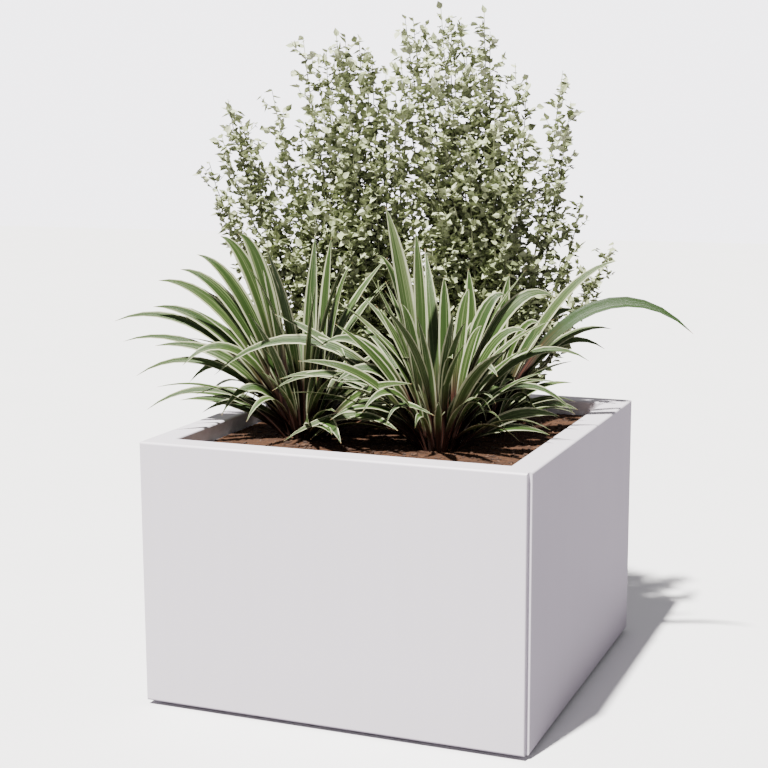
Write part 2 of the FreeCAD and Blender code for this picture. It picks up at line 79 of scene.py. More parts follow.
camera_data = bpy.data.cameras.new("camera")
camera_data.lens = CAMERA_LENS
camera_data.sensor_width = 36.0
camera = bpy.data.objects.new("camera", camera_data)
bpy.context.scene.collection.objects.link(camera)
camera.location = CAMERA_PLACE
facing = (CAMERA_AIM - CAMERA_PLACE).to_track_quat("-Z", "Y")
camera.rotation_euler = facing.to_euler()
camera.rotation_euler.rotate_axis("Z", CAMERA_ROLL)
bpy.context.scene.camera = camera

# %% [markdown]
# ## Helpers for finishes
# Every finish is a Principled shader with a few procedural textures in front of it. The helpers below
# keep the node trees short: one adds a node and fills its inputs, one makes noise, one makes a ramp.

# %% Material helpers


def new_finish(name, roughness=0.5, metallic=0.0):
    """A material with only its Principled shader, ready for textures."""
    finish = bpy.data.materials.new(name)
    finish.use_nodes = True
    shader = finish.node_tree.nodes["Principled BSDF"]
    shader.inputs["Roughness"].default_value = roughness
    shader.inputs["Metallic"].default_value = metallic
    return finish, finish.node_tree, shader


def add_node(tree, kind, settings=None, inputs=None):
    """Add a node, set its properties, and set or link its inputs."""
    node = tree.nodes.new(kind)
    for key, value in (settings or {}).items():
        setattr(node, key, value)
    for key, value in (inputs or {}).items():
        if isinstance(value, bpy.types.NodeSocket):
            tree.links.new(value, node.inputs[key])
        else:
            node.inputs[key].default_value = value
    return node


def object_coordinates(tree):
    return add_node(tree, "ShaderNodeTexCoord").outputs["Object"]


def noise(tree, where, scale, detail=3.0, roughness=0.5, distortion=0.0):
    """Noise from 0 to 1; scale is in waves per metre."""
    node = add_node(tree, "ShaderNodeTexNoise", inputs={
        "Vector": where, "Scale": scale, "Detail": detail, "Roughness": roughness, "Distortion": distortion})
    return node.outputs["Fac"]


def stretched(tree, where, scale):
    """The same coordinates, stretched by a scale along each axis."""
    return add_node(tree, "ShaderNodeMapping", inputs={"Vector": where, "Scale": scale}).outputs["Vector"]


def remap(tree, value, low, high, to_low=0.0, to_high=1.0):
    """Stretch a value from one range to another, and hold it at the ends."""
    node = add_node(tree, "ShaderNodeMapRange", inputs={
        "Value": value, "From Min": low, "From Max": high, "To Min": to_low, "To Max": to_high})
    return node.outputs["Result"]


def colour_ramp(tree, value, stops):
    """Colours at places from 0 to 1."""
    node = add_node(tree, "ShaderNodeValToRGB", inputs={"Fac": value})
    elements = node.color_ramp.elements
    while len(elements) < len(stops):
        elements.new(0.5)
    for element, (place, colour) in zip(elements, stops):
        element.position = place
        element.color = (*colour, 1.0)
    return node.outputs["Color"]


def mixed(tree, amount, first, second, blend="MIX"):
    """Mix two colours by an amount."""
    node = add_node(tree, "ShaderNodeMix", {"data_type": "RGBA", "blend_type": blend})
    for socket, value in ((node.inputs[0], amount), (node.inputs[6], first), (node.inputs[7], second)):
        if isinstance(value, bpy.types.NodeSocket):
            tree.links.new(value, socket)
        else:
            socket.default_value = (*value, 1.0) if isinstance(value, tuple) else value
    return node.outputs[2]


def calculated(tree, operation, *values, clamped=False):
    """The result of one sum or product of values."""
    settings = {"operation": operation, "use_clamp": clamped}
    return add_node(tree, "ShaderNodeMath", settings, dict(enumerate(values))).outputs[0]


def bumped(tree, shader, height, distance):
    """Give the shader a bump of the height, in metres."""
    node = add_node(tree, "ShaderNodeBump", inputs={"Height": height, "Distance": distance})
    tree.links.new(node.outputs["Normal"], shader.inputs["Normal"])


# %% [markdown]
# ## Powder coat
# Powder coat is sprayed as dust and baked, so it is satin, very even, and has a fine orange peel.
# Outdoors it takes a faint film of dust that gathers towards the ground and in soft streaks.

# %% Powder coat
POWDER_WHITE = (0.70, 0.66, 0.715)
POWDER_DUSTY = (0.60, 0.56, 0.59)


def powder_coat():
    """Satin white coat with orange peel, and dust near the ground and in faint streaks."""
    finish, tree, shader = new_finish("satin_powder_coat", roughness=0.42)
    where = object_coordinates(tree)
    peel = noise(tree, where, 420.0, detail=2.0)
    cloud = noise(tree, where, 3.2, detail=4.0)
    streaks = noise(tree, stretched(tree, where, (38.0, 38.0, 1.3)), 1.0, detail=3.0)
    height = add_node(tree, "ShaderNodeSeparateXYZ", inputs={"Vector": where}).outputs["Z"]
    near_ground = remap(tree, height, 0.01, 0.16, 0.55, 0.0)
    film = remap(tree, streaks, 0.45, 0.8, 0.0, 0.22)
    dust = calculated(tree, "ADD", near_ground, film, clamped=True)
    amount = calculated(tree, "MULTIPLY", dust, cloud)
    colour = mixed(tree, amount, POWDER_WHITE, POWDER_DUSTY)
    tree.links.new(colour, shader.inputs["Base Color"])
    tree.links.new(remap(tree, cloud, 0.3, 0.7, 0.38, 0.5), shader.inputs["Roughness"])
    shader.inputs["Coat Weight"].default_value = 0.12
    shader.inputs["Coat Roughness"].default_value = 0.3
    bumped(tree, shader, peel, 0.00006)
    return finish


# %% [markdown]
# ## Galvanised and plated steel
# Hot-dip zinc cools into flat crystals a few millimetres across, each with its own grey. A Voronoi
# texture gives one value for each cell, which tints the zinc and changes its gloss.

# %% Galvanised steel


def galvanised(name, tint, stain, spangle):
    """Zinc with crystals: tint is its grey, stain the colour it dulls to."""
    finish, tree, shader = new_finish(name, roughness=0.45, metallic=1.0)
    where = object_coordinates(tree)
    cells = add_node(tree, "ShaderNodeTexVoronoi", inputs={"Vector": where, "Scale": spangle})
    grey = add_node(tree, "ShaderNodeSeparateColor", inputs={"Color": cells.outputs["Color"]}).outputs[0]
    grime = noise(tree, where, 9.0, detail=5.0, roughness=0.65)
    crystal = mixed(tree, remap(tree, grey, 0.0, 1.0, 0.0, 0.35), tint, stain)
    colour = mixed(tree, remap(tree, grime, 0.5, 0.75, 0.0, 0.6), crystal, stain)
    tree.links.new(colour, shader.inputs["Base Color"])
    tree.links.new(remap(tree, grey, 0.0, 1.0, 0.34, 0.58), shader.inputs["Roughness"])
    bumped(tree, shader, grime, 0.00025)
    return finish


def zinc_plated():
    """Bright plating on bolts, studs and pads: turned marks and a faint yellow."""
    finish, tree, shader = new_finish("zinc_plated_steel", roughness=0.3, metallic=1.0)
    where = object_coordinates(tree)
    turned = noise(tree, stretched(tree, where, (1.0, 1.0, 30.0)), 60.0, detail=2.0)
    patches = noise(tree, where, 45.0, detail=4.0)
    colour = mixed(tree, remap(tree, patches, 0.4, 0.7), (0.66, 0.67, 0.68), (0.52, 0.5, 0.42))
    tree.links.new(colour, shader.inputs["Base Color"])
    tree.links.new(remap(tree, patches, 0.3, 0.7, 0.24, 0.42), shader.inputs["Roughness"])
    bumped(tree, shader, turned, 0.00008)
    return finish


# %% Finish every metal piece of the frame
METAL_FINISHES = {
    "powder_coat": powder_coat(),
    "frame_galvanised": galvanised("frame_zinc", (0.55, 0.57, 0.59), (0.36, 0.37, 0.38), 150.0),
    "liner_galvanised": galvanised("liner_zinc", (0.5, 0.52, 0.54), (0.27, 0.26, 0.25), 110.0),
    "zinc_plated": zinc_plated(),
}
slot_of_node = {part["node"]: part["material_slot"] for part in frame["record"]["subparts"]}
finished_nodes = 0
for node_name, node_object in frame["nodes"].items():
    finish = METAL_FINISHES.get(slot_of_node[node_name])
    if finish:
        node_object.data.materials.clear()
        node_object.data.materials.append(finish)
        finished_nodes += 1
print("metal pieces finished:", finished_nodes)

# %% [markdown]
# ## Soil, felt and gravel
# The liner is filled from below: washed gravel for drainage, a felt that keeps the soil out of it, and
# potting soil up to just below the rim. Gravel and soil are closed blocks with a rough top: a grid is
# pushed up and down by displace modifiers, and its rim is then extruded down and closed. Felt is a
# sheet, a thin grid that gets its thickness from Solidify.

# %% Helpers for pieces made by hand


def start_piece(name):
    """Name the new primitive, and leave everything else alone."""
    piece = bpy.context.active_object
    piece.name = name
    piece.data.name = name
    return piece


def settle(piece):
    """Put the piece's place into its mesh, so that the object sits unturned at the origin."""
    bpy.ops.object.select_all(action="DESELECT")
    piece.select_set(True)
    bpy.context.view_layer.objects.active = piece
    bpy.ops.object.transform_apply(location=True, rotation=True, scale=True)
    return piece


def displaced(piece, texture_kind, size, strength, middle=0.5):
    """Apply one displace modifier along Z with a procedural texture; size is the texture's grain."""
    texture = bpy.data.textures.new("grain", texture_kind)
    texture.noise_scale = size
    modifier = piece.modifiers.new("grain", "DISPLACE")
    modifier.texture = texture
    modifier.direction = "Z"
    modifier.mid_level = middle
    modifier.strength = strength
    bpy.ops.object.modifier_apply(modifier="grain")


def rough_block(name, half, low, high, cells, grains):
    """A closed square block whose top is a displaced grid."""
    bpy.ops.object.select_all(action="DESELECT")
    bpy.ops.mesh.primitive_grid_add(x_subdivisions=cells, y_subdivisions=cells, size=2 * half,
                                    location=(0, 0, high))
    block = settle(start_piece(name))
    for texture_kind, size, strength in grains:
        displaced(block, texture_kind, size, strength)
    bpy.ops.object.mode_set(mode="EDIT")
    bpy.ops.mesh.select_mode(type="EDGE")
    bpy.ops.mesh.select_all(action="DESELECT")
    bpy.ops.mesh.select_non_manifold()
    bpy.ops.mesh.extrude_edges_move(TRANSFORM_OT_translate={"value": (0, 0, low - high)})
    bpy.ops.transform.resize(value=(1, 1, 0), center_override=(0, 0, low))
    bpy.ops.mesh.edge_face_add()
    bpy.ops.mesh.select_all(action="SELECT")
    bpy.ops.mesh.normals_make_consistent(inside=False)
    bpy.ops.object.mode_set(mode="OBJECT")
    print(name, "faces", len(block.data.polygons))
    return block


# %% Soil, gravel and felt finishes


def soil_finish():
    """Composted bark: red-brown crumbs and fibres, raked one way, with dark damp streaks."""
    finish, tree, shader = new_finish("bark_soil", roughness=0.95)
    where = object_coordinates(tree)
    crumbs = noise(tree, where, 230.0, detail=6.0, roughness=0.75)
    fibres = noise(tree, stretched(tree, where, (24.0, 190.0, 190.0)), 1.0, detail=5.0, distortion=0.8)
    streaks = noise(tree, stretched(tree, where, (7.0, 62.0, 62.0)), 1.3, detail=4.0, distortion=1.0)
    grain = calculated(tree, "MULTIPLY_ADD", fibres, 0.45, calculated(tree, "MULTIPLY", crumbs, 0.55))
    brown = colour_ramp(tree, grain, [
        (0.34, (0.026, 0.014, 0.009)), (0.46, (0.055, 0.026, 0.014)),
        (0.57, (0.085, 0.040, 0.020)), (0.72, (0.125, 0.062, 0.032))])
    streaked = mixed(tree, remap(tree, streaks, 0.50, 0.64, 0.0, 0.62), brown, (0.024, 0.015, 0.012))
    tree.links.new(streaked, shader.inputs["Base Color"])
    shader.inputs["Specular IOR Level"].default_value = 0.2
    bumped(tree, shader, grain, 0.005)
    return finish


def chip_finish():
    """Bark chips: each has its own brown, and fibres run along it."""
    finish, tree, shader = new_finish("bark_chip", roughness=0.85)
    tint = add_node(tree, "ShaderNodeAttribute", {"attribute_name": "tint"}).outputs["Fac"]
    fibres = noise(tree, stretched(tree, object_coordinates(tree), (300.0, 120.0, 120.0)), 1.0, detail=4.0)
    brown = colour_ramp(tree, tint, [
        (0.0, (0.022, 0.012, 0.008)), (0.4, (0.050, 0.024, 0.013)),
        (0.8, (0.085, 0.041, 0.020)), (1.0, (0.135, 0.070, 0.036))])
    tree.links.new(mixed(tree, remap(tree, fibres, 0.4, 0.65, 0.0, 0.55), brown, (0.03, 0.016, 0.011)),
                   shader.inputs["Base Color"])
    bumped(tree, shader, fibres, 0.0012)
    return finish


def gravel_finish():
    """Washed river gravel: every pebble has its own grey or buff, with painted shade in the gaps between the
    pebbles.
    """
    finish, tree, shader = new_finish("river_gravel", roughness=0.7)
    where = object_coordinates(tree)
    pebbles = add_node(tree, "ShaderNodeTexVoronoi", inputs={"Vector": where, "Scale": 75.0})
    shade = add_node(tree, "ShaderNodeSeparateColor", inputs={"Color": pebbles.outputs["Color"]}).outputs[0]
    stone = colour_ramp(tree, shade, [
        (0.0, (0.16, 0.15, 0.14)), (0.5, (0.33, 0.29, 0.24)), (1.0, (0.52, 0.48, 0.42))])
    # Painted shade: the grooves between the pebbles are darkened.
    painted_gap_shade = remap(tree, pebbles.outputs["Distance"], 0.35, 0.75, 0.0, 0.85)
    tree.links.new(mixed(tree, painted_gap_shade, stone, (0.04, 0.035, 0.03)), shader.inputs["Base Color"])
    bumped(tree, shader, pebbles.outputs["Distance"], -0.006)
    return finish


def felt_finish():
    """Needle-punched felt: short fibres every way, off-white, with the marks of the needles."""
    finish, tree, shader = new_finish("filter_felt", roughness=1.0)
    where = object_coordinates(tree)
    fibres = noise(tree, where, 900.0, detail=5.0, roughness=0.75, distortion=2.0)
    punched = add_node(tree, "ShaderNodeTexVoronoi", inputs={"Vector": where, "Scale": 320.0})
    tone = colour_ramp(tree, fibres, [(0.3, (0.42, 0.42, 0.40)), (0.7, (0.72, 0.72, 0.70))])
    tree.links.new(tone, shader.inputs["Base Color"])
    bumped(tree, shader, calculated(tree, "ADD", fibres, punched.outputs["Distance"]), 0.0006)
    shader.inputs["Sheen Weight"].default_value = 0.4
    return finish


# %% The gravel bed
LINER_CLEARANCE = 0.0006
INSIDE_HALF = GRAVEL_HIGH[0] - LINER_CLEARANCE
PEBBLE_RISE = 0.0035

gravel = rough_block("gravel_bed", INSIDE_HALF, GRAVEL_LOW[2], GRAVEL_HIGH[2] - PEBBLE_RISE, 90,
                     [("VORONOI", 0.014, 0.006), ("CLOUDS", 0.05, 0.002)])
gravel.data.materials.append(gravel_finish())
bpy.ops.object.shade_smooth_by_angle(angle=math.radians(35))
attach(gravel, "planting_insert")
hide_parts("drainage_gravel")

# %% The filter felt
FELT_SIDE = 0.766
FELT_THICKNESS = 0.0022
FELT_LIFT = 0.0004
FELT_TRIM = 0.001
bpy.ops.object.select_all(action="DESELECT")
felt_level = FABRIC_LOW[2] + FELT_THICKNESS / 2 + FELT_LIFT
bpy.ops.mesh.primitive_grid_add(x_subdivisions=60, y_subdivisions=60, size=FELT_SIDE - FELT_TRIM,
                                location=(0, 0, felt_level))
felt = settle(start_piece("filter_felt"))
displaced(felt, "CLOUDS", 0.03, 0.0005)
thickness = felt.modifiers.new("thickness", "SOLIDIFY")
thickness.thickness = FELT_THICKNESS
thickness.offset = 0.0
bpy.ops.object.modifier_apply(modifier="thickness")
felt.data.materials.append(felt_finish())
bpy.ops.object.shade_smooth_by_angle(angle=math.radians(40))
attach(felt, "planting_insert")
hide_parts("filter_fabric")

# %% [markdown]
# The soil's top is raked, not level: broad swells, then clods, then crumbs, each one displace modifier
# with a smaller grain.

# %% The soil
CLOD_RISE = 0.004
soil_bed = rough_block("soil_bed", INSIDE_HALF, SOIL_LOW[2], SOIL_TOP - CLOD_RISE, 170,
                       [("CLOUDS", 0.16, 0.006), ("CLOUDS", 0.03, 0.0015), ("STUCCI", 0.008, 0.003)])
soil_bed.data.materials.append(soil_finish())
bpy.ops.object.shade_smooth_by_angle(angle=math.radians(50))
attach(soil_bed, "planting_insert")
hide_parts("soil")

# %% [markdown]
# ## Copies along places and paths
# Bark chips and leaves repeat hundreds of times. Each is modelled once, and its vertices are then copied
# with numpy: turned, scaled, bent along a path, and joined into one mesh. That is the same as
# duplicating and joining by hand, only faster. The helper keeps the faces, a UV map and one tint for
# each copy, so that a finish can give every leaf its own colour.

# %% Helpers for copies


def mesh_arrays(piece):
    """A modelled piece's vertices and its faces, as lists of vertex numbers."""
    places = np.array([vertex.co[:] for vertex in piece.data.vertices])
    faces = [list(face.vertices) for face in piece.data.polygons]
    return places, faces


def forget(piece):
    """Delete the model that the copies were taken from."""
    bpy.data.objects.remove(piece, do_unlink=True)


def joined_copies(name, copies, faces, tints, uv=None):
    """One mesh from many copies of the same faces; tints and uv give each copy's colour data."""
    count = len(copies[0])
    places = np.concatenate(copies)
    offsets = (np.arange(len(copies)) * count)[:, None]
    corners = np.concatenate([np.array(face) for face in faces])
    loop_vertices = (offsets + corners[None, :]).ravel()
    face_sizes = np.tile([len(face) for face in faces], len(copies))
    mesh = bpy.data.meshes.new(name)
    mesh.vertices.add(len(places))
    mesh.vertices.foreach_set("co", places.astype(np.float32).ravel())
    mesh.loops.add(len(loop_vertices))
    mesh.loops.foreach_set("vertex_index", loop_vertices.astype(np.int32))
    mesh.polygons.add(len(face_sizes))
    face_starts = np.concatenate([[0], np.cumsum(face_sizes)[:-1]])
    mesh.polygons.foreach_set("loop_start", face_starts.astype(np.int32))
    mesh.update(calc_edges=True)
    mesh.validate()
    tint = mesh.attributes.new("tint", "FLOAT", "POINT")
    tint.data.foreach_set("value", np.asarray(tints, dtype=np.float32).ravel())
    if uv is not None:
        layer = mesh.uv_layers.new(name="along_leaf")
        layer.data.foreach_set("uv", np.tile(uv[corners], (len(copies), 1)).astype(np.float32).ravel())
    mesh.shade_smooth()
    piece = bpy.data.objects.new(name, mesh)
    bpy.context.scene.collection.objects.link(piece)
    print(name, "copies", len(copies), "faces", len(mesh.polygons))
    return piece


def turned_to(headings, tilts, rolls):
    """Rotation matrices that turn +X to a heading, tilt it up, and roll it about itself."""
    ch, sh = np.cos(headings), np.sin(headings)
    ct, st = np.cos(tilts), np.sin(tilts)
    cr, sr = np.cos(rolls), np.sin(rolls)
    forward = np.stack([ch * ct, sh * ct, st], axis=-1)
    left = np.stack([-sh, ch, np.zeros_like(ch)], axis=-1)
    up = np.cross(forward, left)
    side = left * cr[:, None] + up * sr[:, None]
    top = up * cr[:, None] - left * sr[:, None]
    return np.stack([forward, side, top], axis=-1)


# %% [markdown]
# ## Bark chips
# A chip is a split sliver: a cube stretched into a plank and cut once across, with one end pulled to a
# wedge. Fifteen hundred of them lie nearly flat on the soil, in every direction.

# %% One chip, then the litter
bpy.ops.object.select_all(action="DESELECT")
bpy.ops.mesh.primitive_cube_add(size=1.0)
chip = start_piece("one_chip")
bpy.ops.object.mode_set(mode="EDIT")
bpy.ops.mesh.select_all(action="SELECT")
bpy.ops.transform.resize(value=(1.0, 0.42, 0.16))
bpy.ops.mesh.bisect(plane_co=(0.1, 0, 0), plane_no=(1, 0.3, 0))
bpy.ops.object.mode_set(mode="OBJECT")
chip_places, chip_faces = mesh_arrays(chip)
chip_places[:, 1] *= np.where(chip_places[:, 0] > 0.4, 0.45, 1.0)
chip_places[:, 2] += np.where(np.abs(chip_places[:, 0]) < 0.35, 0.07, 0.0)
forget(chip)

dice = np.random.default_rng(41)
CHIPS = 1500
CHIP_MARGIN = 0.02
CHIP_LIFT = 0.0006
chip_at = dice.uniform(-INSIDE_HALF + CHIP_MARGIN, INSIDE_HALF - CHIP_MARGIN, (CHIPS, 2))
chip_length = dice.uniform(0.006, 0.02, CHIPS) * dice.uniform(0.5, 1.0, CHIPS)
chip_turns = turned_to(dice.uniform(0, 2 * np.pi, CHIPS), dice.normal(0, 0.18, CHIPS),
                       dice.normal(0, 0.2, CHIPS))
chips = []
for (x, y), length, turn in zip(chip_at, chip_length, chip_turns):
    _, hit, _, _ = soil_bed.ray_cast(Vector((x, y, 1.0)), Vector((0, 0, -1)))
    chips.append((chip_places * length) @ turn.T + np.array([x, y, hit.z + CHIP_LIFT]))
chip_tints = np.repeat(dice.beta(1.6, 1.9, CHIPS), len(chip_places))
litter = joined_copies("bark_litter", chips, chip_faces, chip_tints)
litter.data.shade_flat()
litter.data.materials.append(chip_finish())
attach(litter, "planting_insert")

# %% [markdown]
# ## The strap-leaved flax
# A front clump has about 110 blades and the rear one about 75. A blade is keeled: folded along its
# midrib, narrow and dark at the sheath, widest past the middle and pointed at the tip. It is modelled
# once, from a six-sided cylinder that is cut into fourteen lengths, and then swept along a curve for
# each leaf.

# %% One blade


def cut_across(piece, cuts):
    """Subdivide only the upright edges of an upright tube, so that it is cut into lengths."""
    bpy.ops.object.mode_set(mode="EDIT")
    bpy.ops.mesh.select_mode(type="EDGE")
    bpy.ops.mesh.select_all(action="DESELECT")
    bpy.ops.object.mode_set(mode="OBJECT")
    for edge in piece.data.edges:
        low, high = (piece.data.vertices[number].co.z for number in edge.vertices)
        edge.select = abs(high - low) > 0.5
    bpy.ops.object.mode_set(mode="EDIT")
    bpy.ops.mesh.subdivide(number_cuts=cuts)
    bpy.ops.mesh.select_all(action="SELECT")
    bpy.ops.mesh.normals_make_consistent(inside=False)
    bpy.ops.object.mode_set(mode="OBJECT")


BLADE_RINGS = 15
bpy.ops.object.select_all(action="DESELECT")
bpy.ops.mesh.primitive_cylinder_add(vertices=6, radius=0.5, depth=1.0, location=(0, 0, 0.5),
                                    end_fill_type="NGON")
blade = settle(start_piece("one_blade"))
cut_across(blade, BLADE_RINGS - 2)
blade_places, blade_faces = mesh_arrays(blade)
forget(blade)

# %% [markdown]
# The six sides become the blade's section. Seen from the tip they are: two margins, two points half way
# up the fold, the midrib on top and the keel below. `across` runs from -1 to 1 from margin to margin,
# `lift` is the height of the fold, and `thick` tells the keel from the midrib.

# %% The blade's section
ring_turn = np.round(np.degrees(np.arctan2(blade_places[:, 1], blade_places[:, 0])) / 30).astype(int) % 12
ring_slots = sorted(set(ring_turn.tolist()))
SECTION = [(1.0, 0.0), (0.5, 0.5), (0.0, 0.5), (-0.5, 0.5), (-1.0, 0.0), (0.0, -0.5)]
first_slot = {slot: place for place, slot in enumerate(ring_slots)}
blade_across = np.array([SECTION[first_slot[slot]][0] for slot in ring_turn])
blade_thick = np.array([SECTION[first_slot[slot]][1] for slot in ring_turn])
blade_along = blade_places[:, 2]
blade_uv = np.stack([blade_across / 2 + 0.5, blade_along], axis=-1)
print("blade vertices", len(blade_places), "faces", len(blade_faces), "ring slots", ring_slots)


def curve(points, t):
    """Places on a cubic curve, and its direction, at each t."""
    t = t[:, None]
    a, b, c, d = (np.asarray(point, dtype=float)[None, :] for point in points)
    place = a * (1 - t) ** 3 + 3 * b * t * (1 - t) ** 2 + 3 * c * t**2 * (1 - t) + d * t**3
    along = 3 * (b - a) * (1 - t) ** 2 + 6 * (c - b) * t * (1 - t) + 3 * (d - c) * t**2
    return place, along / np.linalg.norm(along, axis=1, keepdims=True)


def width_profile(t):
    """Share of the full width: sheath, then widest past the middle, then a long point."""
    return np.interp(t, [0.0, 0.08, 0.2, 0.4, 0.54, 0.7, 0.84, 0.94, 1.0],
                     [0.52, 0.44, 0.58, 0.90, 1.0, 0.86, 0.52, 0.2, 0.02])


def swept_blade(points, width, fold, twist, start_twist=0.0):
    """The blade bent along a curve; fold is the margin's lift as a share of the half width."""
    centre, along = curve(points, blade_along)
    heading = np.array([points[3][0] - points[0][0], points[3][1] - points[0][1], 0.0])
    heading /= np.linalg.norm(heading) + 1e-9
    side = np.array([-heading[1], heading[0], 0.0])[None, :].repeat(len(along), axis=0)
    top = np.cross(along, side)
    top /= np.linalg.norm(top, axis=1, keepdims=True)
    side = np.cross(top, along)
    turn = start_twist + twist * blade_along
    cosine, sine = np.cos(turn)[:, None], np.sin(turn)[:, None]
    side, top = side * cosine + top * sine, top * cosine - side * sine
    half = width / 2 * width_profile(blade_along)
    close = fold * (1.0 + 2.2 * np.exp(-blade_along * 7))
    spread = 1.0 / np.sqrt(1.0 + close**2)
    thickness = 0.0016 + 0.002 * np.exp(-blade_along * 9)
    thickness = thickness * np.clip((1.02 - blade_along) * 12, 0.15, 1.0)
    out = blade_across * half * spread
    lift = np.abs(blade_across) * half * spread * close + blade_thick * thickness
    return centre + side * out[:, None] + top * lift[:, None]


# %% [markdown]
# The finish reads the blade's UV map: u runs across from margin to margin, v along from sheath to tip.
# Cream margins, a dark green middle and a few pale stripes come from u; the near-black and red sheath and the
# dry tip come from v. The sheath's dark reaches far up the blade: near the base it is the real sheath, and
# higher up it is painted shade of the crowded crown. Every leaf has its own tint, and a tint below zero makes
# a leaf all green.

# %% Flax finish


def flax_finish():
    """Striped leaf: cream margins, green middle, a dark sheath whose dark runs on up the blade as painted
    shade, and a dry tip.
    """
    finish, tree, shader = new_finish("variegated_flax", roughness=0.42)
    uv = add_node(tree, "ShaderNodeUVMap", {"uv_map": "along_leaf"}).outputs["UV"]
    tint = add_node(tree, "ShaderNodeAttribute", {"attribute_name": "tint"}).outputs["Fac"]
    split = add_node(tree, "ShaderNodeSeparateXYZ", inputs={"Vector": uv})
    across, along = split.outputs["X"], split.outputs["Y"]
    shifted = calculated(tree, "MULTIPLY", tint, 37.0)
    placed = add_node(tree, "ShaderNodeCombineXYZ", inputs={"X": across, "Y": along, "Z": shifted})
    stripe_place = placed.outputs[0]
    stripes = noise(tree, stretched(tree, stripe_place, (15.0, 0.7, 1.0)), 1.0, detail=2.5)
    fine = noise(tree, stretched(tree, stripe_place, (70.0, 1.2, 1.0)), 1.0, detail=2.0)
    from_rib = calculated(tree, "ABSOLUTE", calculated(tree, "SUBTRACT", across, 0.5))
    wavy = calculated(tree, "MULTIPLY_ADD", stripes, 0.16, from_rib)
    green = mixed(tree, remap(tree, fine, 0.3, 0.7), (0.012, 0.030, 0.005), (0.033, 0.068, 0.012))
    green = mixed(tree, remap(tree, tint, 0.0, 1.0, 0.0, 0.4), green, (0.055, 0.092, 0.020))
    green = mixed(tree, remap(tree, stripes, 0.55, 0.60, 0.0, 0.6), green, (0.16, 0.20, 0.085))
    margin = remap(tree, wavy, 0.425, 0.455)
    cream = mixed(tree, remap(tree, fine, 0.35, 0.65), (0.27, 0.30, 0.16), (0.44, 0.455, 0.30))
    variegated = remap(tree, tint, -0.3, -0.1)
    margin = calculated(tree, "MULTIPLY", margin, variegated)
    green = mixed(tree, variegated, (0.020, 0.046, 0.008), green)
    blade_colour = mixed(tree, margin, green, cream)
    # Near-black and red: the real sheath colour at the base, and painted shade of the crown where it runs on
    # up to about 0.43 of the blade's length.
    sheath = mixed(tree, remap(tree, stripes, 0.45, 0.6), (0.008, 0.006, 0.005), (0.060, 0.020, 0.013))
    sheath_and_shade_along = calculated(tree, "MULTIPLY_ADD", fine, -0.06, along)
    colour = mixed(tree, remap(tree, sheath_and_shade_along, 0.43, 0.22), blade_colour, sheath)
    colour = mixed(tree, remap(tree, along, 0.975, 1.0), colour, (0.30, 0.20, 0.10))
    tree.links.new(colour, shader.inputs["Base Color"])
    tree.links.new(remap(tree, fine, 0.3, 0.7, 0.36, 0.52), shader.inputs["Roughness"])
    shader.inputs["Specular IOR Level"].default_value = 0.3
    bumped(tree, shader, fine, 0.0006)
    return finish


FLAX_FINISH = flax_finish()

# %% [markdown]
# Main leaves are listed in millimetres: the tip, how high the leaf arches above its chord and its width,
# then its twist. The rest grow at random around the crown from a fixed seed, so that they are the same
# each time: FLAX_RANDOM gives their number, the seed, the flattest rise in radians and the longest blade.
# One long leaf of the rear clump has no cream margin.

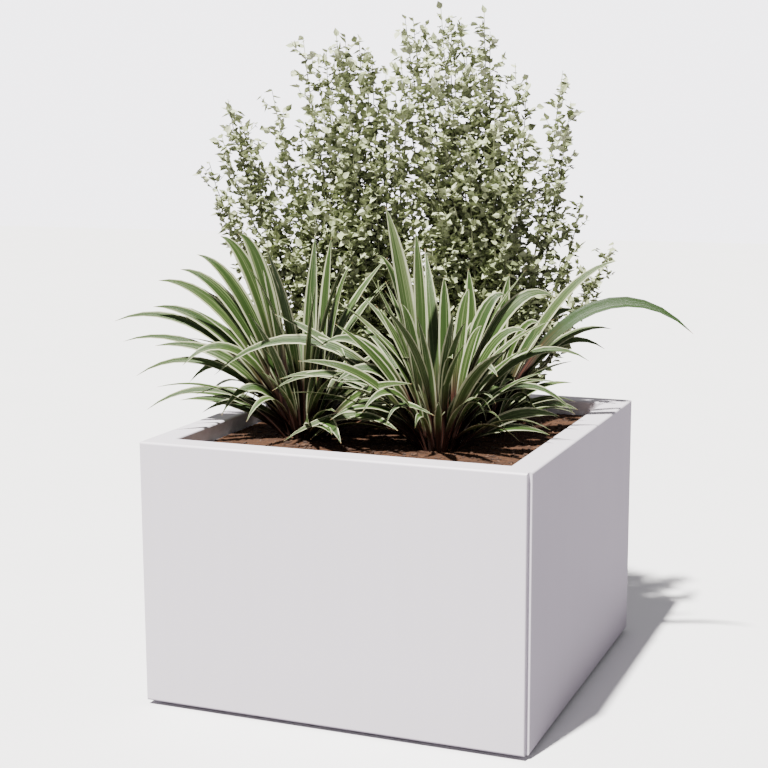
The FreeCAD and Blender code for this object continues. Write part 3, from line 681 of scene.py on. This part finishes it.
# %% Where the leaves go
MM = 0.001
FLAX_BASES = {"flax_left": (-205, -110), "flax_right": (140, -130), "flax_rear": (175, 60)}
PLAIN_LEAF_TIP = 645
ALL_GREEN = -0.5
SHEATH_DEPTH = 12
CURLED_LEAVES = 9
SHORT_LEAVES = 12
HERO_LEAVES = {
    "flax_left": [
        (-619, -262, 849, 150, 26, 0.3), (-605, -250, 800, 120, 22, 0.2), (-585, -230, 716, 150, 20, 0.4),
        (-549, -247, 640, 130, 20, 0.3), (-528, -239, 884, 95, 34, 0.5), (-515, -234, 945, 110, 34, 0.5),
        (-467, -215, 971, 100, 36, 0.4), (-430, -200, 1005, 95, 38, 0.3), (-379, -180, 1047, 110, 40, 0.6),
        (-341, -164, 1051, 130, 38, 0.9), (-300, -140, 1010, 65, 30, 0.2), (-141, -84, 1044, 20, 36, -0.2),
        (-180, -120, 930, 10, 22, 0.1), (-95, -70, 985, 70, 36, -0.6), (-120, -180, 780, 190, 34, 0.4),
        (-420, -300, 760, 170, 30, 0.3), (-470, -180, 700, 160, 30, 0.2), (-350, -250, 640, 150, 26, 0.5),
        (-260, -300, 640, 120, 22, 0.4), (-440, -60, 830, 110, 32, 0.2), (-60, -190, 770, 150, 26, -0.3),
    ],
    "flax_right": [
        (20, -150, 1119, 25, 40, 0.3), (82, -125, 1065, 35, 30, 0.2), (-1, -158, 1012, 120, 40, -0.8),
        (269, -51, 921, 120, 36, 0.4), (371, -10, 916, 160, 34, 0.5), (447, 20, 770, 150, 22, 0.2),
        (418, 9, 648, 170, 20, 0.2), (141, -102, 962, 45, 34, 0.1), (193, -81, 935, 70, 34, 0.2),
        (-198, -237, 588, 120, 22, 0.4), (-141, -214, 592, 130, 20, 0.2), (-110, -225, 810, 140, 30, 0.3),
        (-373, -236, 731, 250, 28, 0.3), (-237, -200, 875, 30, 26, 0.2), (-235, -218, 699, 150, 20, 0.3),
        (-217, -212, 727, 100, 24, 0.2),
        (60, -160, 905, 60, 38, 0.1), (210, -240, 800, 90, 30, 0.3),
        (300, -200, 760, 130, 28, -0.3), (20, -290, 680, 130, 26, 0.3), (-60, -260, 730, 150, 28, 0.3),
        (240, -130, 860, 60, 32, 0.3), (340, -120, 850, 110, 30, 0.2),
    ],
    "flax_rear": [
        (645, 205, 818, 265, 34, 0.3), (466, 186, 984, 90, 26, 0.3), (444, 177, 776, 140, 24, 0.2),
        (381, 152, 867, 110, 28, 0.4), (458, 183, 824, 100, 22, 0.2), (234, 93, 954, 30, 34, 0.2),
        (120, 130, 960, 30, 30, -0.2), (330, 20, 850, 110, 28, 0.3), (70, 180, 880, 70, 28, 0.3),
    ],
}
FLAX_RANDOM = {
    "flax_left": (66, 11, 0.15, 450.0),
    "flax_right": (66, 23, 0.15, 430.0),
    "flax_rear": (44, 37, 0.25, 340.0),
}


def hero_curve(base, leaf, lean):
    """Curve of a listed leaf, from a place in the crown on the tip's side."""
    x, y, z, arch = leaf[:4]
    tip = np.array([x, y, z]) * MM
    start = np.array([base[0] + lean[0], base[1] + lean[1], SOIL_TOP / MM - SHEATH_DEPTH]) * MM
    chord = tip - start
    lift = np.array([0, 0, arch * 0.75 * MM])
    return [start, start + chord * np.array([0.16, 0.16, 0.36]) + lift * 0.9,
            start + chord * np.array([0.62, 0.62, 0.78]) + lift * 1.15, tip]


def random_curve(base, heading, length, rise, droop, lean):
    """Curve of a random leaf: it leaves the crown steeply and bends over towards its heading."""
    start = np.array([base[0] + lean[0], base[1] + lean[1], SOIL_TOP / MM - SHEATH_DEPTH]) * MM
    away = np.array([math.cos(heading), math.sin(heading), 0.0])
    up = np.array([0, 0, 1.0])
    steep = min(rise + 0.45, 1.5)
    first = start + (away * math.cos(steep) + up * math.sin(steep)) * length * 0.36
    second = first + (away * math.cos(rise) + up * math.sin(rise)) * length * 0.34
    last = second + (away * math.cos(rise - droop) + up * math.sin(rise - droop)) * length * 0.34
    return [start, first, second, last]


def inside_reach(points):
    """Leaves stay over the box at the front, and clear of the soil."""
    tip = points[3]
    too_far_forward = tip[1] < -0.36 or (tip[1] < -0.30 and tip[2] < 0.70)
    return not too_far_forward and tip[2] > SOIL_TOP + 0.012 and abs(tip[0]) < 0.612 and tip[1] < 0.43


# %% The three clumps


def flax_clump(name):
    """One clump: its main leaves, the random ones, a few curled ones, and short ones in the crown."""
    base = FLAX_BASES[name]
    count, seed, flattest, longest = FLAX_RANDOM[name]
    dice = np.random.default_rng(seed)
    blades, tints = [], []
    for leaf in HERO_LEAVES[name]:
        heading = math.atan2(leaf[1] - base[1], leaf[0] - base[0])
        lean = (36 * math.cos(heading), 30 * math.sin(heading))
        points = hero_curve(base, leaf, lean)
        turn = math.cos(heading)
        blades.append(swept_blade(points, leaf[4] * MM, 0.24, leaf[5] * turn, 0.85 * turn))
        tints.append(ALL_GREEN if leaf[0] == PLAIN_LEAF_TIP else dice.uniform())
    grown = 0
    while grown < count:
        heading = dice.uniform(0, 2 * math.pi)
        rise = flattest + (1.32 - flattest) * dice.uniform() ** 1.15
        length = dice.uniform(0.55, 1.0) * longest * MM * (0.8 + 0.35 * rise / 1.38)
        droop = dice.uniform(0.35, 1.15) * (1.5 - rise) + 0.08
        radius = dice.uniform(8, 44) * (1.35 - rise * 0.4)
        lean = (radius * math.cos(heading), radius * math.sin(heading))
        points = random_curve(base, heading, length, rise, droop, lean)
        if not inside_reach(points):
            continue
        width = dice.uniform(19, 36) * MM * (0.75 + 0.25 * length / (longest * MM))
        fold, twist = dice.uniform(0.15, 0.35), dice.normal(0, 0.5)
        blades.append(swept_blade(points, width, fold, twist, dice.normal(0.6 * math.cos(heading), 0.35)))
        tints.append(dice.uniform())
        grown += 1
    for _ in range(CURLED_LEAVES):
        heading = dice.uniform(0, 2 * math.pi)
        lean = (34 * math.cos(heading), 34 * math.sin(heading))
        away = np.array([math.cos(heading), math.sin(heading), 0.0])
        start = np.array([base[0] + lean[0], base[1] + lean[1], SOIL_TOP / MM - 10]) * MM
        top = start + away * 0.04 + np.array([0, 0, dice.uniform(0.10, 0.17)])
        tip = top + away * dice.uniform(0.05, 0.09) - np.array([0, 0, dice.uniform(0.02, 0.07)])
        points = [start, start * 0.35 + top * 0.65, top + away * 0.035 + np.array([0, 0, 0.035]), tip]
        blades.append(swept_blade(points, dice.uniform(15, 22) * MM, 0.35, dice.normal(0, 0.6)))
        tints.append(dice.uniform())
    for _ in range(SHORT_LEAVES):
        heading = dice.uniform(0, 2 * math.pi)
        radius = dice.uniform(2, 58)
        lean = (radius * math.cos(heading), radius * math.sin(heading))
        points = random_curve(base, heading, dice.uniform(0.12, 0.20), dice.uniform(1.0, 1.4), 0.1, lean)
        blades.append(swept_blade(points, dice.uniform(18, 26) * MM, 0.6, dice.normal(0, 0.2)))
        tints.append(dice.uniform())
    blade_tints = np.repeat(tints, len(blade_places))
    clump = joined_copies(name + "_leaves", blades, blade_faces, blade_tints, blade_uv)
    clump.data.materials.append(FLAX_FINISH)
    settle(clump)
    bpy.ops.object.shade_smooth_by_angle(angle=math.radians(50))
    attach(clump, "planting_insert")
    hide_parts(name)
    return clump


flax_clumps = [flax_clump(name) for name in FLAX_BASES]

# %% [markdown]
# ## The tall shrubs
# Behind the flax stand two many-stemmed shrubs with hundreds of twigs and thousands of small oval
# leaves. Stems and twigs are tapered tubes swept along curves. A leaf is a cone of eight sides pressed
# flat, pulled out to a point and cupped along its midrib, so that it is closed and has only 16 faces.

# %% One stem tube and one leaf
bpy.ops.object.select_all(action="DESELECT")
bpy.ops.mesh.primitive_cone_add(vertices=8, radius1=0.5, radius2=0.0, depth=0.05, end_fill_type="TRIFAN")
leaf = settle(start_piece("one_leaf"))
bpy.ops.object.mode_set(mode="EDIT")
bpy.ops.mesh.select_all(action="SELECT")
bpy.ops.transform.resize(value=(1.0, 0.84, -1.0))
bpy.ops.transform.translate(value=(0.5, 0, 0))
bpy.ops.mesh.normals_make_consistent(inside=False)
bpy.ops.object.mode_set(mode="OBJECT")
leaf_places, leaf_faces = mesh_arrays(leaf)
forget(leaf)
on_edge = np.hypot(leaf_places[:, 0] - 0.5, leaf_places[:, 1] / 0.84) > 0.4
leaf_places[:, 1] *= np.where(leaf_places[:, 0] > 0.8, 0.62, 1.0)
leaf_places[:, 0] = np.where(leaf_places[:, 0] > 0.98, 1.14, leaf_places[:, 0])
leaf_places[:, 2] += np.where(on_edge, np.abs(leaf_places[:, 1]) * 0.34, 0.0)
# The underside's point is marked here; the shrub leaves are later painted darker there, as painted shade
# under each leaf.
painted_underside_shade = np.where(~on_edge & (leaf_places[:, 2] < 0), 1.0, 0.0)
print("leaf vertices", len(leaf_places), "faces", len(leaf_faces))


def modelled_tube(name, sides, cuts):
    """An upright tube cut across into lengths, and closed at both ends."""
    bpy.ops.object.select_all(action="DESELECT")
    bpy.ops.mesh.primitive_cylinder_add(vertices=sides, radius=1.0, depth=1.0, location=(0, 0, 0.5),
                                        end_fill_type="NGON")
    tube = settle(start_piece(name))
    cut_across(tube, cuts)
    places, faces = mesh_arrays(tube)
    forget(tube)
    print(name, "vertices", len(places), "faces", len(faces))
    return places, faces


def swept_tube(tube, points, radius_low, radius_high):
    """A tube bent along a curve and tapered."""
    centre, along = curve(points, tube[:, 2])
    side = np.cross(along, np.array([[0.31, 0.17, 0.93]]))
    side /= np.linalg.norm(side, axis=1, keepdims=True)
    top = np.cross(along, side)
    radius = radius_low + (radius_high - radius_low) * tube[:, 2]
    return centre + side * (tube[:, 0] * radius)[:, None] + top * (tube[:, 1] * radius)[:, None]


stem_places, stem_faces = modelled_tube("one_stem", 6, 11)
twig_places, twig_faces = modelled_tube("one_twig", 4, 3)

# %% Shrub finishes


def shrub_leaf_finish():
    """Small leathery sage-green leaves, dark to pale by their tint, which carries painted light: paler high
    up and outside, painted shade on the undersides.
    """
    finish, tree, shader = new_finish("shrub_leaf", roughness=0.5)
    tint = add_node(tree, "ShaderNodeAttribute", {"attribute_name": "tint"}).outputs["Fac"]
    mottle = noise(tree, object_coordinates(tree), 260.0, detail=2.0)
    amount = calculated(tree, "MULTIPLY_ADD", mottle, 0.22, tint)
    colour = colour_ramp(tree, amount, [
        (0.08, (0.085, 0.105, 0.042)), (0.34, (0.17, 0.205, 0.088)),
        (0.62, (0.33, 0.375, 0.195)), (1.0, (0.52, 0.56, 0.36))])
    tree.links.new(colour, shader.inputs["Base Color"])
    tree.links.new(remap(tree, mottle, 0.3, 0.7, 0.4, 0.6), shader.inputs["Roughness"])
    bumped(tree, shader, mottle, 0.0008)
    return finish


def shrub_wood_finish():
    """Thin grey-brown bark with a green cast on the young wood, furrowed along the stem."""
    finish, tree, shader = new_finish("shrub_bark", roughness=0.8)
    where = object_coordinates(tree)
    furrows = noise(tree, stretched(tree, where, (420.0, 420.0, 30.0)), 1.0, detail=4.0)
    tint = add_node(tree, "ShaderNodeAttribute", {"attribute_name": "tint"}).outputs["Fac"]
    old = mixed(tree, remap(tree, furrows, 0.35, 0.65), (0.035, 0.024, 0.018), (0.13, 0.10, 0.075))
    young = mixed(tree, remap(tree, furrows, 0.35, 0.65), (0.13, 0.15, 0.07), (0.26, 0.29, 0.15))
    tree.links.new(mixed(tree, tint, old, young), shader.inputs["Base Color"])
    bumped(tree, shader, furrows, 0.001)
    return finish


SHRUB_LEAF_FINISH = shrub_leaf_finish()
SHRUB_WOOD_FINISH = shrub_wood_finish()

# %% [markdown]
# The leaders are listed by their tips, in millimetres, which draw the shrubs' outline, and shorter ones
# fill the middle: SHRUB_FILL gives their number and the seed. Twigs leave each leader round a spiral,
# long low down and short near the tip, and leaves leave the twigs in pairs. Each shrub's leaves are three
# pieces, one for each layer of height.

# %% Where the leaders go
SHRUB_BASES = {"shrub_left": (-120, 190), "shrub_right": (150, 260)}
LEADER_TIPS = {
    "shrub_left": [
        (-38, 140, 1168), (-60, 170, 1082), (-15, 120, 1038), (-66, 160, 1239),
        (-457, 40, 1332), (-431, 50, 1264), (-200, 140, 1515), (-241, 120, 1478), (-148, 160, 1482),
        (-457, 20, 1362), (-449, 60, 1324), (-467, 0, 1281), (-491, -20, 1214), (-488, 10, 1108),
        (-358, 60, 1383), (-363, 100, 1314), (-323, 60, 1232),
        (-288, 90, 1510), (-263, 120, 1442), (-210, 110, 1521), (-223, 200, 1468), (-167, 150, 1503),
        (-142, 170, 1465), (-118, 200, 1423), (-206, 60, 1351), (-307, 180, 1372), (-60, 120, 1369),
        (-154, 60, 1327), (-313, 120, 1299), (-103, 90, 1280), (-48, 180, 1384), (-287, 60, 1145),
        (-225, 40, 1122), (-156, 30, 1088), (-362, 0, 1031), (-417, -10, 997), (-310, 20, 1012),
    ],
    "shrub_right": [
        (-16, 150, 1144), (8, 170, 1203), (3, 140, 1061), (27, 160, 1108), (-39, 190, 1239),
        (31, 120, 1003), (-3, 130, 965), (-64, 190, 1552), (59, 230, 1546), (33, 170, 1024),
        (-40, 180, 1553), (-20, 210, 1535), (24, 200, 1571), (38, 240, 1559), (81, 220, 1475),
        (122, 230, 1567), (131, 250, 1519), (110, 200, 1415), (154, 260, 1404), (188, 270, 1444),
        (215, 280, 1415), (301, 290, 1426), (319, 300, 1353), (306, 300, 1273),
        (27, 150, 1438), (67, 180, 1392),
        (-77, 190, 1465), (167, 180, 1325), (217, 220, 1297), (22, 130, 1303),
        (116, 150, 1279), (196, 170, 1220), (345, 330, 1124), (417, 330, 1002),
        (393, 320, 944), (301, 290, 963), (273, 260, 872),
    ],
}
SHRUB_FILL = {"shrub_left": (13, 5), "shrub_right": (11, 9)}
BASAL_SHOOTS = 16
STEM_RADII = (0.0045, 0.0007)
TWIG_RADII = (0.0009, 0.0004)
TWIG_SPACING = 0.025
LEAF_SPACING = 0.0088
LEADER_LEAF_SPACING = 0.012
LEAF_LENGTHS = (0.013, 0.0225)


def leader_curve(base, tip, dice):
    """A leader leaves the stool at a slant and then stands up."""
    start = np.array([base[0] + dice.normal(0, 14), base[1] + dice.normal(0, 14), SOIL_TOP / MM - 10])
    tip = np.array(tip, dtype=float)
    reach = tip - start
    first = start + reach * np.array([0.36, 0.36, 0.24]) + dice.normal(0, 12, 3)
    second = start + reach * np.array([0.82, 0.82, 0.62]) + dice.normal(0, 14, 3)
    return [start * MM, first * MM, second * MM, tip * MM]


def shrub(name):
    """One shrub: stems, twigs, and its leaves in three layers."""
    base = SHRUB_BASES[name]
    fill, seed = SHRUB_FILL[name]
    dice = np.random.default_rng(seed)
    tips = list(LEADER_TIPS[name])
    listed = len(tips)
    while len(tips) < listed + fill:
        pick = np.array(tips[dice.integers(0, listed)], dtype=float)
        if not -330 < pick[0] < 310:
            continue
        middle = np.array([base[0], base[1] + 20, pick[2]])
        tip = pick + (middle - pick) * dice.uniform(0.1, 0.9)
        tip[2] = dice.uniform(0.55, 0.85) * pick[2] + 30
        tips.append(tuple(tip + dice.normal(0, 18, 3)))
    for _ in range(BASAL_SHOOTS):
        heading, reach = dice.uniform(0, 2 * math.pi), dice.uniform(50, 160)
        tips.append((base[0] + reach * math.cos(heading), base[1] + 0.8 * reach * math.sin(heading),
                     dice.uniform(690, 930)))
    stems, stem_tints, twigs_made, leaf_spots = [], [], [], []
    for tip in tips:
        points = leader_curve(base, tip, dice)
        stems.append(swept_tube(stem_places, points, *STEM_RADII))
        stem_tints.append(np.clip(stem_places[:, 2] * 1.2 - 0.1, 0, 1))
        length = np.linalg.norm(points[3] - points[0])
        twig_count = int(length / TWIG_SPACING)
        spiral = dice.uniform(0, 2 * math.pi)
        for k in range(twig_count):
            t = 0.12 + 0.86 * (k + dice.uniform(-0.3, 0.3)) / twig_count
            place, along = curve(points, np.array([t]))
            spiral += 2.4 + dice.normal(0, 0.3)
            out = np.array([math.cos(spiral), math.sin(spiral), 0.0])
            longest = np.interp(t, [0.1, 0.35, 0.7, 0.9, 1.0], [0.09, 0.11, 0.075, 0.055, 0.034])
            size = dice.uniform(0.5, 1.0) * longest
            start = place[0]
            rise = np.array([0, 0, size])
            twig = [start, start + out * size * 0.42 + rise * 0.18, start + out * size * 0.72 + rise * 0.5,
                    start + out * size * 0.85 + rise * dice.uniform(0.5, 1.0) + dice.normal(0, 0.004, 3)]
            twigs_made.append(swept_tube(twig_places, twig, *TWIG_RADII))
            steps = max(2, int(size / LEAF_SPACING))
            for step in range(steps):
                s = (step + 0.6) / steps
                spot, direction = curve(twig, np.array([s]))
                for hand in (-1, 1) if dice.uniform() < 0.8 else (1,):
                    leaf_spots.append((spot[0], direction[0], hand, t))
        for s in np.arange(0.55, 1.0, LEADER_LEAF_SPACING / length):
            spot, direction = curve(points, np.array([s]))
            leaf_spots.append((spot[0], direction[0], 1 if int(s * 1000) % 2 else -1, s))
    wood = joined_copies(name + "_stems", stems, stem_faces, np.concatenate(stem_tints))
    twig_tints = np.ones(len(twigs_made) * len(twig_places))
    twigs = joined_copies(name + "_twigs", twigs_made, twig_faces, twig_tints)
    for piece in (wood, twigs):
        piece.data.materials.append(SHRUB_WOOD_FINISH)
    spots = np.array([spot[0] for spot in leaf_spots])
    directions = np.array([spot[1] for spot in leaf_spots])
    hands = np.array([spot[2] for spot in leaf_spots], dtype=float)
    count = len(spots)
    headings = np.arctan2(directions[:, 1], directions[:, 0]) + hands * dice.uniform(0.5, 1.5, count)
    headings = np.where(dice.uniform(size=count) < 0.3, dice.uniform(0, 2 * np.pi, count), headings)
    turns = turned_to(headings, dice.normal(0.25, 0.55, count), dice.normal(0, 0.6, count))
    sizes = dice.uniform(*LEAF_LENGTHS, count)
    leaves = [(leaf_places * size) @ turn.T + spot for spot, turn, size in zip(spots, turns, sizes)]
    # Painted light: leaves are made paler the higher and the further out they grow, as if lit from above and
    # outside. The random part is the leaves' own tone.
    middle = np.array([base[0] * MM, base[1] * MM])
    outward = np.clip(np.hypot(spots[:, 0] - middle[0], spots[:, 1] - middle[1]) / 0.28, 0, 1)
    raised = np.clip((spots[:, 2] - SOIL_TOP) / 0.85, 0, 1)
    tone_and_painted_light = 0.24 + 0.14 * outward + 0.42 * raised + dice.normal(0, 0.20, count)
    # Painted shade: each leaf's underside is made darker by 0.16 of the tint.
    leaf_tints = np.clip(tone_and_painted_light[:, None] - 0.16 * painted_underside_shade[None, :], 0.02, 0.98)
    pieces = [wood, twigs]
    layer_of = np.searchsorted(np.quantile(spots[:, 2], [1 / 3, 2 / 3]), spots[:, 2])
    for layer, layer_name in enumerate(("low", "middle", "high")):
        chosen = np.flatnonzero(layer_of == layer)
        layer_leaves = [leaves[k] for k in chosen]
        foliage = joined_copies(f"{name}_leaves_{layer_name}", layer_leaves, leaf_faces, leaf_tints[chosen])
        foliage.data.shade_flat()
        foliage.data.materials.append(SHRUB_LEAF_FINISH)
        pieces.append(foliage)
    for piece in pieces:
        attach(piece, "planting_insert")
        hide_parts(name)
    return pieces


shrubs = [shrub(name) for name in SHRUB_BASES]

# %% [markdown]
# ## Floor and light
# A pale floor and a pale sky fill the shadows. One sun stands high at the front left, as a soft key
# light: it keeps the right-hand side and the left inner wall in shade. Floor and sky have two strengths
# each: the one that the camera sees is bright, and the one that lights the planter is darker, because
# light thrown back by a white floor would wash out the shaded side.

# %% Floor, sky and sun
FLOOR_HALF = 14.0
FLOOR_TONES = ((0.86, 0.86, 0.865), (0.90, 0.90, 0.905))
FLOOR_BOUNCE = (0.185, 0.172, 0.20)
SKY_FILL = 0.36
SKY_SHOWN = 4.5
SUN_STRENGTH = 16.8
SUN_HEADING = math.radians(-15.0)
SUN_HEIGHT = math.radians(63.0)

bpy.ops.object.select_all(action="DESELECT")
bpy.ops.mesh.primitive_plane_add(size=2 * FLOOR_HALF, location=(0, 0, 0))
floor = bpy.context.active_object
floor.name = "studio_floor"
floor_finish, floor_tree, floor_shader = new_finish("pale_floor", roughness=0.9)
floor_where = object_coordinates(floor_tree)
floor_tone = mixed(floor_tree, noise(floor_tree, floor_where, 2.0), *FLOOR_TONES)
floor_seen = add_node(floor_tree, "ShaderNodeLightPath").outputs["Is Camera Ray"]
floor_colour = mixed(floor_tree, floor_seen, FLOOR_BOUNCE, floor_tone)
floor_tree.links.new(floor_colour, floor_shader.inputs["Base Color"])
floor.data.materials.append(floor_finish)

world = bpy.data.worlds.new("studio_sky")
world.use_nodes = True
sky = world.node_tree.nodes["Background"]
sky.inputs["Color"].default_value = (0.97, 0.945, 1.0, 1.0)
seen = add_node(world.node_tree, "ShaderNodeLightPath").outputs["Is Camera Ray"]
world.node_tree.links.new(remap(world.node_tree, seen, 0.0, 1.0, SKY_FILL, SKY_SHOWN), sky.inputs["Strength"])
bpy.context.scene.world = world

sun_data = bpy.data.lights.new("sun", "SUN")
sun_data.energy = SUN_STRENGTH
sun_data.angle = math.radians(2.5)
sun_data.color = (1.0, 0.975, 0.94)
sun = bpy.data.objects.new("sun", sun_data)
bpy.context.scene.collection.objects.link(sun)
sun_from = Vector((math.sin(SUN_HEADING) * math.cos(SUN_HEIGHT),
                   -math.cos(SUN_HEADING) * math.cos(SUN_HEIGHT),
                   math.sin(SUN_HEIGHT)))
sun.rotation_euler = sun_from.to_track_quat("Z", "Y").to_euler()
